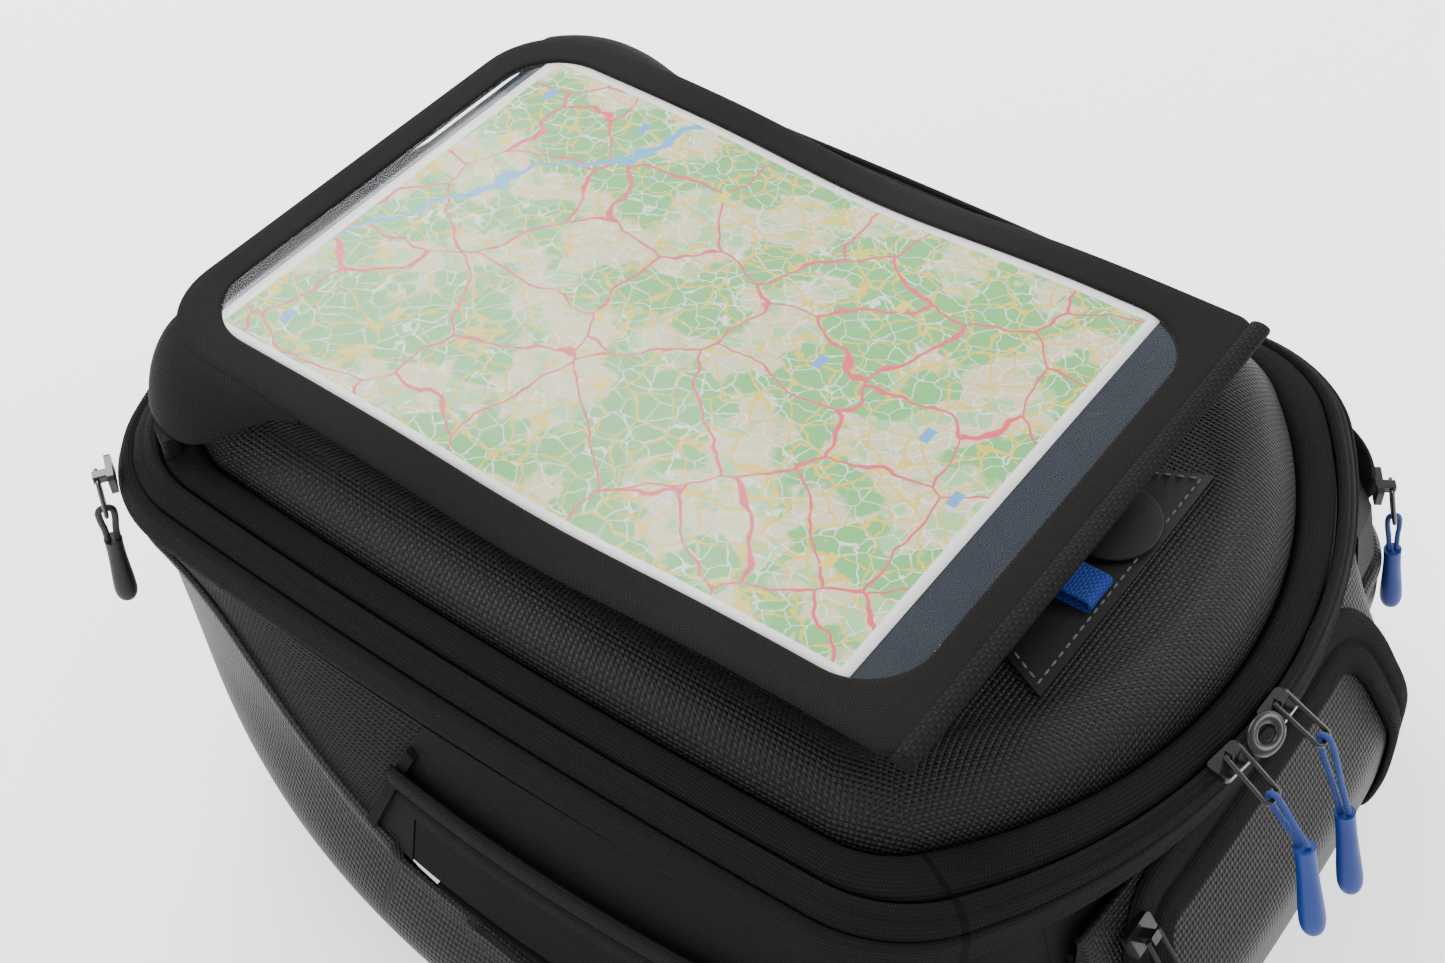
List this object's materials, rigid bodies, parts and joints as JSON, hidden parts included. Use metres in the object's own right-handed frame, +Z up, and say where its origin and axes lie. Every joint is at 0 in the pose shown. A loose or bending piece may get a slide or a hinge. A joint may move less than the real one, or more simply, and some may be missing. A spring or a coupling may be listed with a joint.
{
  "type": "motorcycle tank bag",
  "caption": "Soft motorcycle tank bag with a moulded tub and lid, zipped bands, a clear map holder on top, rear and side pockets, and a docking socket in its base.",
  "frame": {"origin": "centre of the docking socket's mouth, on the plane of the non-slip base", "axes": "+X to the rider's right, +Y forward to the handlebar, +Z up"},
  "size_m": [0.4166, 0.5322, 0.2225],
  "materials": {
    "base_rubber": "non-slip matt",
    "ring_plastic": "satin",
    "steel": "satin",
    "board": "matt",
    "skirt_fabric": "coated weave",
    "moulded_eva": "moulded foam under ballistic weave",
    "liner_fabric": "plain weave",
    "mesh_fabric": "spacer mesh",
    "panel_fabric": "twill",
    "zip_tape": "padded knit",
    "zip_teeth": "coil",
    "piping": "twill",
    "black_webbing": "webbing",
    "latch_metal": "satin",
    "patch_rubber": "soft matt",
    "blue_webbing": "webbing",
    "holder_fabric": "plain weave",
    "binding": "grosgrain",
    "clear_vinyl": "clear glossy film",
    "map_paper": "printed map",
    "backing_film": "satin",
    "slider_metal": "gloss black",
    "blue_cord": "braided",
    "dark_cord": "braided",
    "blue_grip": "satin",
    "black_grip": "matt"
  },
  "bodies": {
    "bag": {"base_pad": "base_rubber", "docking_ring": "ring_plastic", "docking_screws": "steel", "base_plate": "board", "base_skirt": "skirt_fabric", "bottom_shell": "moulded_eva", "main_liner": "liner_fabric", "side_panel_left": "mesh_fabric", "side_panel_right": "mesh_fabric", "end_panels": "mesh_fabric", "side_zips": "zip_tape", "side_piping": "piping", "side_straps": "black_webbing", "body_band": "zip_tape", "body_zips": "zip_teeth", "gusset_band": "zip_tape", "rear_pocket_tape": "zip_tape", "carry_handle": "black_webbing"},
    "release": {"latch_plate": "latch_metal", "release_tab": "black_webbing"},
    "lid": {"lid_shell": "moulded_eva", "lid_band": "zip_tape", "lid_zip": "zip_teeth", "lid_liner": "liner_fabric", "lid_patch": "patch_rubber", "lid_tab": "patch_rubber", "lid_rear_loop": "blue_webbing", "lid_anchors": "black_webbing"},
    "map_holder": {"map_frame": "holder_fabric", "map_window": "clear_vinyl", "map_sheet": "map_paper", "map_backing": "backing_film", "map_binding": "binding", "map_wings": "holder_fabric"},
    "rear_pocket": {"rear_pocket_cover": "moulded_eva"},
    "pocket_slider": {"pocket_slider": "slider_metal"},
    "pocket_pull": {"pocket_pull": "black_grip"},
    "side_pocket_left": {"side_pocket_cover_left": "panel_fabric"},
    "side_pocket_right": {"side_pocket_cover_right": "panel_fabric"},
    "main_left_slider": {"main_left_slider": "slider_metal"},
    "main_left_pull": {"main_left_bail": "slider_metal", "main_left_cord": "blue_cord", "main_left_grip": "blue_grip"},
    "main_right_slider": {"main_right_slider": "slider_metal"},
    "main_right_pull": {"main_right_bail": "slider_metal", "main_right_cord": "blue_cord", "main_right_grip": "blue_grip"},
    "expansion_slider": {"expansion_slider": "slider_metal"},
    "expansion_pull": {"expansion_bail": "slider_metal", "expansion_cord": "dark_cord", "expansion_grip": "black_grip"},
    "side_left_slider": {"side_left_slider": "slider_metal"},
    "side_left_pull": {"side_left_bail": "slider_metal", "side_left_cord": "blue_cord", "side_left_grip": "blue_grip"},
    "side_right_slider": {"side_right_slider": "slider_metal"},
    "side_right_pull": {"side_right_bail": "slider_metal", "side_right_cord": "blue_cord", "side_right_grip": "blue_grip"}
  },
  "joints": [
    {"name": "lid_open", "type": "hinge", "parent": "bag", "child": "lid", "pos_m": [0, 0.238, 0.185], "axis": [-1, 0, 0], "range_deg": [0, 95]},
    {"name": "map_holder_open", "type": "hinge", "parent": "lid", "child": "map_holder", "pos_m": [0, 0.226, 0.2], "axis": [-1, 0, 0], "range_deg": [0, 80]},
    {"name": "main_left_travel", "type": "hinge", "parent": "bag", "child": "main_left_slider", "pos_m": [0, 0.0095, 0.185], "axis": [0, 0, -1], "range_deg": [0, 20]},
    {"name": "main_right_travel", "type": "hinge", "parent": "bag", "child": "main_right_slider", "pos_m": [0, 0.0095, 0.185], "axis": [0, 0, 1], "range_deg": [0, 28]},
    {"name": "expansion_travel", "type": "hinge", "parent": "bag", "child": "expansion_slider", "pos_m": [-0.10499, 0.1695, 0.1746], "axis": [0, 0, 1], "range_deg": [-20, 24]},
    {"name": "side_left_travel", "type": "hinge", "parent": "bag", "child": "side_left_slider", "pos_m": [-0.13462, -0.14685, 0.1314], "axis": [0, 0, -1], "range_deg": [0, 28]},
    {"name": "side_right_travel", "type": "hinge", "parent": "bag", "child": "side_right_slider", "pos_m": [0.13462, -0.14685, 0.1314], "axis": [0, 0, 1], "range_deg": [0, 28]},
    {"name": "main_left_swing", "type": "hinge", "parent": "main_left_slider", "child": "main_left_pull", "pos_m": [-0.03686, -0.21013, 0.1919], "axis": [-0.9862, 0.1655, 0], "range_deg": [0, 63]},
    {"name": "main_right_swing", "type": "hinge", "parent": "main_right_slider", "child": "main_right_pull", "pos_m": [-0.00819, -0.21305, 0.1919], "axis": [-0.9993, 0.0368, 0], "range_deg": [0, 63]},
    {"name": "expansion_swing", "type": "hinge", "parent": "expansion_slider", "child": "expansion_pull", "pos_m": [-0.16274, 0.20931, 0.1746], "axis": [0.5675, 0.8233, 0], "range_deg": [0, 80]},
    {"name": "side_left_swing", "type": "hinge", "parent": "side_left_slider", "child": "side_left_pull", "pos_m": [-0.16087, -0.18886, 0.1314], "axis": [-0.848, 0.5299, 0], "range_deg": [0, 80]},
    {"name": "side_right_swing", "type": "hinge", "parent": "side_right_slider", "child": "side_right_pull", "pos_m": [0.16087, -0.18886, 0.1314], "axis": [-0.848, -0.5299, 0], "range_deg": [0, 80]},
    {"name": "rear_pocket_open", "type": "hinge", "parent": "bag", "child": "rear_pocket", "pos_m": [0, -0.205, 0.033], "axis": [1, 0, 0], "range_deg": [0, 45]},
    {"name": "pocket_slider_travel", "type": "slide", "parent": "rear_pocket", "child": "pocket_slider", "axis": [1, 0, 0], "range_m": [0, 0.165]},
    {"name": "pocket_pull_swing", "type": "hinge", "parent": "pocket_slider", "child": "pocket_pull", "pos_m": [-0.084, -0.21356, 0.14357], "axis": [-1, 0, 0], "range_deg": [0, 60]},
    {"name": "side_pocket_left_open", "type": "hinge", "parent": "bag", "child": "side_pocket_left", "pos_m": [-0.18149, -0.065, 0.102], "axis": [0.0595, -0.9982, 0], "range_deg": [0, 14]},
    {"name": "side_pocket_right_open", "type": "hinge", "parent": "bag", "child": "side_pocket_right", "pos_m": [0.18149, -0.065, 0.102], "axis": [0.0595, 0.9982, 0], "range_deg": [0, 14]},
    {"name": "release_pull", "type": "slide", "parent": "bag", "child": "release", "axis": [0, 1, 0], "range_m": [0, 0.008], "stiffness_N_per_m": 400}
  ],
  "couplings": [
    {"joint": "main_left_swing", "follows": "rear_pocket_open", "ratio": 1.4},
    {"joint": "main_right_swing", "follows": "rear_pocket_open", "ratio": 1.4}
  ]
}
